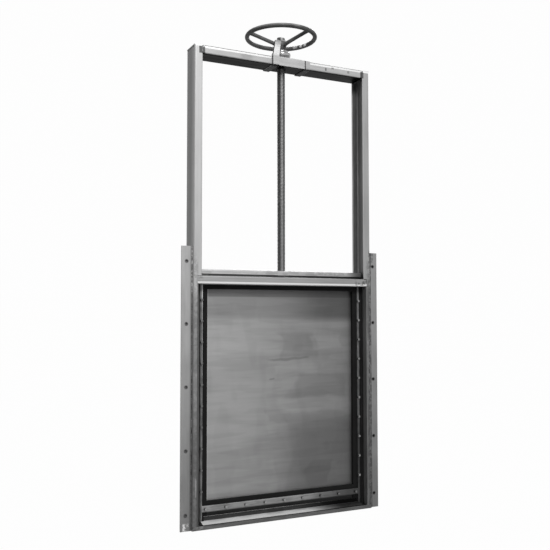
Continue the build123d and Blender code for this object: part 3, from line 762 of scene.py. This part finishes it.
# weld beads: rippled, a little uneven, one mesh per seam group
beadShape = {"sides": 8, "uneven": 0.28, "wave": 0.12, "ends": 0.5, "sharp": 60.0}


def addBead(bm, start, end, look, seed):
    begin, run = Vector(start), Vector(end) - Vector(start)
    dice = random.Random(seed)
    bead = bmesh.new()
    bmesh.ops.create_cone(
        bead, cap_ends=True, segments=beadShape["sides"], radius1=1.0, radius2=1.0, depth=1.0
    )
    uprights = [edge for edge in bead.edges if abs(edge.verts[0].co.z - edge.verts[1].co.z) > 0.5]
    cuts = max(4, int(run.length / look["ripple"] * 2))  # two rows to a ripple
    bmesh.ops.subdivide_edges(bead, edges=uprights, cuts=cuts, use_grid_fill=True)
    uneven, wave = beadShape["uneven"], beadShape["wave"]
    swells = [1.0 + dice.uniform(-uneven, uneven) + wave * (-1) ** row for row in range(cuts + 2)]
    swells[0] = swells[-1] = beadShape["ends"]
    for vert in bead.verts:
        swell = look["width"] * swells[round((vert.co.z + 0.5) * (cuts + 1))]
        vert.co = (vert.co.x * swell, vert.co.y * swell, (vert.co.z + 0.5) * run.length)
    bead.transform(Matrix.Translation(begin) @ run.to_track_quat("Z", "Y").to_matrix().to_4x4())
    mesh = bpy.data.meshes.new("bead")
    bead.to_mesh(mesh)
    bead.free()
    bm.from_mesh(mesh)
    bpy.data.meshes.remove(mesh)


flangeWeld = {"width": 0.0032, "ripple": 0.006, "foot": 0.022, "short": 0.004, "seeds": (10, 12)}
flangeEndWeld = {"width": 0.003, "ripple": 0.006, "front": -0.006, "seeds": (22, 24)}
flangeLow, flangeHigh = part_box("right_anchor_flange")
weldTop = flangeHigh.z - flangeWeld["short"]
bm = bmesh.new()
for side, seed, endSeed in zip((-1.0, 1.0), flangeWeld["seeds"], flangeEndWeld["seeds"]):
    x = side * flangeLow.x
    addBead(bm, (x, flangeLow.y, flangeWeld["foot"]), (x, flangeLow.y, weldTop), flangeWeld, seed)
    addBead(bm, (x, flangeEndWeld["front"], flangeHigh.z), (x, 0.0, flangeHigh.z), flangeEndWeld, endSeed)
settle(bm, "flangeWelds", weldMetal, "frame", beadShape["sharp"])

beamWeld = {"width": 0.003, "ripple": 0.007, "sink": 0.001, "short": 0.004, "seed": 31}
beamLow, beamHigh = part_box("head_beam")
weldFoot, weldTop = beamLow.z + beamWeld["short"], beamHigh.z - beamWeld["short"]
weldY = beamLow.y + beamWeld["sink"]
bm = bmesh.new()
for x in (-beamHigh.x, beamHigh.x):
    addBead(bm, (x, weldY, weldFoot), (x, weldY, weldTop), beamWeld, beamWeld["seed"])
settle(bm, "beamWelds", weldMetal, "frame", beadShape["sharp"])

strapWeld = {"width": 0.002, "ripple": 0.005, "front": 0.008, "back": 0.004, "below": 0.001, "seed": 43}
plateWeld = {"width": 0.002, "ripple": 0.005, "foot": 0.004, "top": 0.003, "proud": 0.001, "seed": 41}
bracketLow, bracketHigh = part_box("drive_bracket")
weldFront, weldBack = beamLow.y + strapWeld["front"], beamHigh.y - strapWeld["back"]
weldZ = beamLow.z - strapWeld["below"]
bm = bmesh.new()
for x in (bracketLow.x, bracketHigh.x):
    addBead(bm, (x, weldFront, weldZ), (x, weldBack, weldZ), strapWeld, strapWeld["seed"])
weldFoot, weldTop = beamLow.z + plateWeld["foot"], beamHigh.z - plateWeld["top"]
x, weldY = bracketLow.x, beamLow.y - plateWeld["proud"]
addBead(bm, (x, weldY, weldFoot), (x, weldY, weldTop), plateWeld, plateWeld["seed"])
settle(bm, "bracketWelds", weldMetal, "frame", beadShape["sharp"])
print("weld beads laid")


def seenDirectly(tree):  # 1 for the camera and for what shines or lets light through
    path = tree.nodes.new("ShaderNodeLightPath").outputs
    seen = sums(tree, "ADD", path["Is Camera Ray"], path["Is Glossy Ray"])
    return sums(tree, "MINIMUM", sums(tree, "ADD", seen, path["Is Transmission Ray"]), 1.0)


# stage: white floor that rises into a backdrop behind the gate
stageLook = {
    "half": 9.0, "back": 6.0, "height": 7.0, "bend": 1.5, "bendSteps": 10,
    "tone": 0.35, "rough": 0.9, "shadow": 0.015,  # shadow is the share of its own shading that is seen
}


def stageFinish(name, look):
    finish, tree, shader = newFinish(name, 0.0, look["rough"])
    shader.inputs["Base Color"].default_value = (look["tone"], look["tone"], look["tone"], 1.0)
    shader.inputs["Specular IOR Level"].default_value = 0.0
    white = tree.nodes.new("ShaderNodeEmission")
    mix = tree.nodes.new("ShaderNodeMixShader")
    tree.links.new(sums(tree, "MULTIPLY", seenDirectly(tree), 1.0 - look["shadow"]), mix.inputs[0])
    tree.links.new(shader.outputs[0], mix.inputs[1])
    tree.links.new(white.outputs[0], mix.inputs[2])
    tree.links.new(mix.outputs[0], tree.nodes["Material Output"].inputs["Surface"])
    return finish


half, rise = stageLook["half"], stageLook["back"]
bm = bmesh.new()
edges = [bm.edges.new([bm.verts.new((x, -half, 0.0)) for x in (-half, half)])]
for step in ((0.0, half + rise, 0.0), (0.0, 0.0, stageLook["height"])):
    verts, edges = growEdges(bm, edges)
    bmesh.ops.translate(bm, vec=step, verts=verts)
corner = [e for e in bm.edges if all(math.isclose(v.co.y, rise) and v.co.z == 0.0 for v in e.verts)]
bmesh.ops.bevel(
    bm, geom=corner, offset=stageLook["bend"], offset_type="OFFSET", segments=stageLook["bendSteps"],
    profile=0.5, affect="EDGES", material=-1,
)
mesh = bpy.data.meshes.new("whiteStage")
bm.to_mesh(mesh)
bm.free()
mesh.materials.append(stageFinish("whiteStage", stageLook))
floor = bpy.data.objects.new("whiteStage", mesh)
scene.collection.objects.link(floor)

skyLook = {"light": 0.14, "seen": 1.0}
world = bpy.data.worlds.new("studio")
world.use_nodes = True
sky = world.node_tree.nodes["Background"].inputs
sky["Color"].default_value = (1.0, 1.0, 1.0, 1.0)
shown = span(world.node_tree, seenDirectly(world.node_tree), 0.0, 1.0, skyLook["light"], skyLook["seen"])
world.node_tree.links.new(shown, sky["Strength"])
scene.world = world

lampLook = {
    "keyLamp": {"place": (-0.35, -3.4, 4.2), "target": (0.0, 0.0, 1.3), "size": (1.5, 1.2), "power": 128.0},
    "backLamp": {"place": (2.4, 3.6, 4.6), "target": (0.0, 0.0, 1.2), "size": (1.5, 1.2), "power": 90.0},
}
for lampName, look in lampLook.items():
    lamp = bpy.data.lights.new(lampName, "AREA")
    lamp.shape = "RECTANGLE"
    lamp.size, lamp.size_y = look["size"]
    lamp.energy = look["power"]
    stand = bpy.data.objects.new(lampName, lamp)
    stand.location = look["place"]
    aim = Vector(look["target"]) - Vector(look["place"])
    stand.rotation_euler = aim.to_track_quat("-Z", "Y").to_euler()
    scene.collection.objects.link(stand)
print("stage and lamps set")
